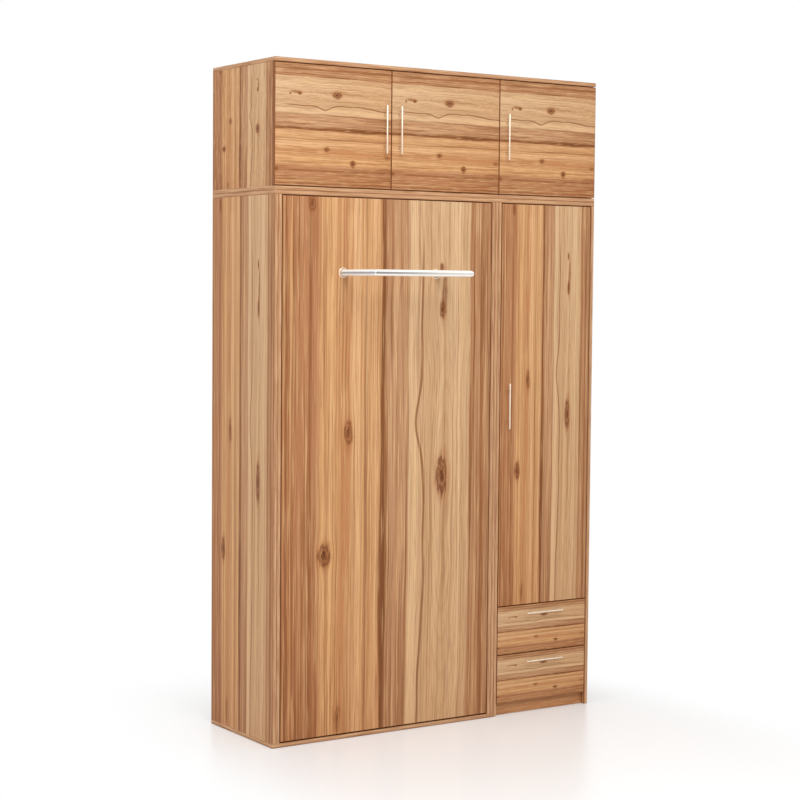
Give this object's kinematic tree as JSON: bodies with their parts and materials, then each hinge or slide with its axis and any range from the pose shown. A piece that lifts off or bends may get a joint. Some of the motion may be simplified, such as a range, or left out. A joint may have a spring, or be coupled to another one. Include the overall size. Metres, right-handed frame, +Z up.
{
  "type": "wall bed",
  "caption": "Upright fold-down single bed in a wood-print cabinet, with a narrow wardrobe beside it and a door-fronted top cabinet across both.",
  "frame": {"origin": "on the floor, at the middle of the cabinets' footprint", "axes": "+X along the front towards the wardrobe, +Y from the fronts towards the wall, +Z up"},
  "size_m": [1.55, 0.7495, 2.64],
  "materials": {
    "laminated_board": "printed wood grain, satin",
    "plain_board": "plain pale laminate, matt",
    "batten_wood": "planed, unfinished",
    "bright_metal": "polished",
    "fitting_steel": "zinc plated",
    "strut_paint": "black, semi-gloss",
    "stop_plastic": "black, matt",
    "mattress_cover": "knitted cover",
    "strap_webbing": "woven webbing"
  },
  "bodies": {
    "cabinet": {"bed_side_left": "laminated_board", "bed_side_right": "laminated_board", "bed_bottom_panel": "laminated_board", "lower_top_panel": "laminated_board", "bed_back_panel": "plain_board", "wall_rails": "plain_board", "wardrobe_side_left": "laminated_board", "wardrobe_side_right": "laminated_board", "wardrobe_floor": "laminated_board", "wardrobe_plinth": "laminated_board", "wardrobe_shelves": "laminated_board", "wardrobe_back_panel": "plain_board", "hanging_rail": "bright_metal", "upper_top_panel": "laminated_board", "upper_bottom_panel": "laminated_board", "upper_side_left": "laminated_board", "upper_side_right": "laminated_board", "upper_partition": "laminated_board", "upper_back_panel": "plain_board", "joining_bolts": "fitting_steel", "cabinet_pivot_plates": "fitting_steel", "hinge_arms": "fitting_steel", "runner_outer_members": "fitting_steel", "closing_stops": "stop_plastic"},
    "bed": {"bed_front_panel": "laminated_board", "bed_frame_rails": "plain_board", "bed_battens": "batten_wood", "mattress": "mattress_cover", "mattress_straps": "strap_webbing", "leg_frame": "bright_metal", "leg_flanges": "bright_metal", "bed_pivot_plates": "fitting_steel"},
    "strut_cylinders": {"strut_cylinders": "strut_paint"},
    "strut_rods": {"strut_rods": "bright_metal"},
    "left_door": {"upper_door_left": "laminated_board", "upper_handle_left": "bright_metal", "upper_cups_left": "fitting_steel"},
    "left_hinge_links": {"upper_links_left": "fitting_steel"},
    "middle_door": {"upper_door_middle": "laminated_board", "upper_handle_middle": "bright_metal", "upper_cups_middle": "fitting_steel"},
    "middle_hinge_links": {"upper_links_middle": "fitting_steel"},
    "right_door": {"upper_door_right": "laminated_board", "upper_handle_right": "bright_metal", "upper_cups_right": "fitting_steel"},
    "right_hinge_links": {"upper_links_right": "fitting_steel"},
    "tall_door": {"wardrobe_door": "laminated_board", "wardrobe_handle": "bright_metal", "wardrobe_cups": "fitting_steel"},
    "tall_hinge_links": {"wardrobe_links": "fitting_steel"},
    "low_drawer": {"drawer_low_front": "laminated_board", "drawer_low_box": "plain_board", "drawer_low_handle": "bright_metal", "drawer_low_runners": "fitting_steel"},
    "low_runner_middles": {"runner_middle_low": "fitting_steel"},
    "top_drawer": {"drawer_top_front": "laminated_board", "drawer_top_box": "plain_board", "drawer_top_handle": "bright_metal", "drawer_top_runners": "fitting_steel"},
    "top_runner_middles": {"runner_middle_top": "fitting_steel"}
  },
  "joints": [
    {"name": "bed_fold", "type": "hinge", "parent": "cabinet", "child": "bed", "pos_m": [0, -0.21, 0.29], "axis": [1, 0, 0], "range_deg": [0, 90]},
    {"name": "strut_cylinder_swing", "type": "hinge", "parent": "cabinet", "child": "strut_cylinders", "pos_m": [0, -0.17008, 0.51638], "axis": [1, 0, 0], "range_deg": [0, 45.05]},
    {"name": "strut_rod_swing", "type": "hinge", "parent": "bed", "child": "strut_rods", "pos_m": [0, -0.18996, 0.061], "axis": [1, 0, 0], "range_deg": [-45.05, 0]},
    {"name": "left_link_swing", "type": "hinge", "parent": "cabinet", "child": "left_hinge_links", "pos_m": [-0.75071, -0.22086, 2.39], "axis": [0, 0, -1], "range_deg": [-66.6, 0]},
    {"name": "left_door_swing", "type": "hinge", "parent": "left_hinge_links", "child": "left_door", "pos_m": [-0.765, -0.238, 2.39], "axis": [0, 0, -1], "range_deg": [0, 161.5]},
    {"name": "middle_link_swing", "type": "hinge", "parent": "cabinet", "child": "middle_hinge_links", "pos_m": [0.24921, -0.22086, 2.39], "axis": [0, 0, 1], "range_deg": [-66.6, 0]},
    {"name": "middle_door_swing", "type": "hinge", "parent": "middle_hinge_links", "child": "middle_door", "pos_m": [0.2635, -0.238, 2.39], "axis": [0, 0, 1], "range_deg": [0, 161.5]},
    {"name": "right_link_swing", "type": "hinge", "parent": "cabinet", "child": "right_hinge_links", "pos_m": [0.75071, -0.22086, 2.39], "axis": [0, 0, 1], "range_deg": [-66.6, 0]},
    {"name": "right_door_swing", "type": "hinge", "parent": "right_hinge_links", "child": "right_door", "pos_m": [0.765, -0.238, 2.39], "axis": [0, 0, 1], "range_deg": [0, 161.5]},
    {"name": "tall_link_swing", "type": "hinge", "parent": "cabinet", "child": "tall_hinge_links", "pos_m": [0.73171, -0.22086, 1.28975], "axis": [0, 0, 1], "range_deg": [-66.6, 0]},
    {"name": "tall_door_swing", "type": "hinge", "parent": "tall_hinge_links", "child": "tall_door", "pos_m": [0.746, -0.238, 1.28975], "axis": [0, 0, 1], "range_deg": [0, 161.5]},
    {"name": "low_drawer_slide", "type": "slide", "parent": "cabinet", "child": "low_drawer", "axis": [0, -1, 0], "range_m": [0, 0.4]},
    {"name": "low_runner_slide", "type": "slide", "parent": "cabinet", "child": "low_runner_middles", "axis": [0, -1, 0], "range_m": [0, 0.2005]},
    {"name": "top_drawer_slide", "type": "slide", "parent": "cabinet", "child": "top_drawer", "axis": [0, -1, 0], "range_m": [0, 0.4]},
    {"name": "top_runner_slide", "type": "slide", "parent": "cabinet", "child": "top_runner_middles", "axis": [0, -1, 0], "range_m": [0, 0.2005]}
  ],
  "couplings": [
    {"joint": "strut_cylinder_swing", "follows": "bed_fold", "ratio": 0.5},
    {"joint": "strut_rod_swing", "follows": "bed_fold", "ratio": -0.5},
    {"joint": "left_link_swing", "follows": "left_door_swing", "ratio": -0.41176},
    {"joint": "middle_link_swing", "follows": "middle_door_swing", "ratio": -0.41176},
    {"joint": "right_link_swing", "follows": "right_door_swing", "ratio": -0.41176},
    {"joint": "tall_link_swing", "follows": "tall_door_swing", "ratio": -0.41176},
    {"joint": "low_runner_slide", "follows": "low_drawer_slide", "ratio": 0.5},
    {"joint": "top_runner_slide", "follows": "top_drawer_slide", "ratio": 0.5}
  ]
}
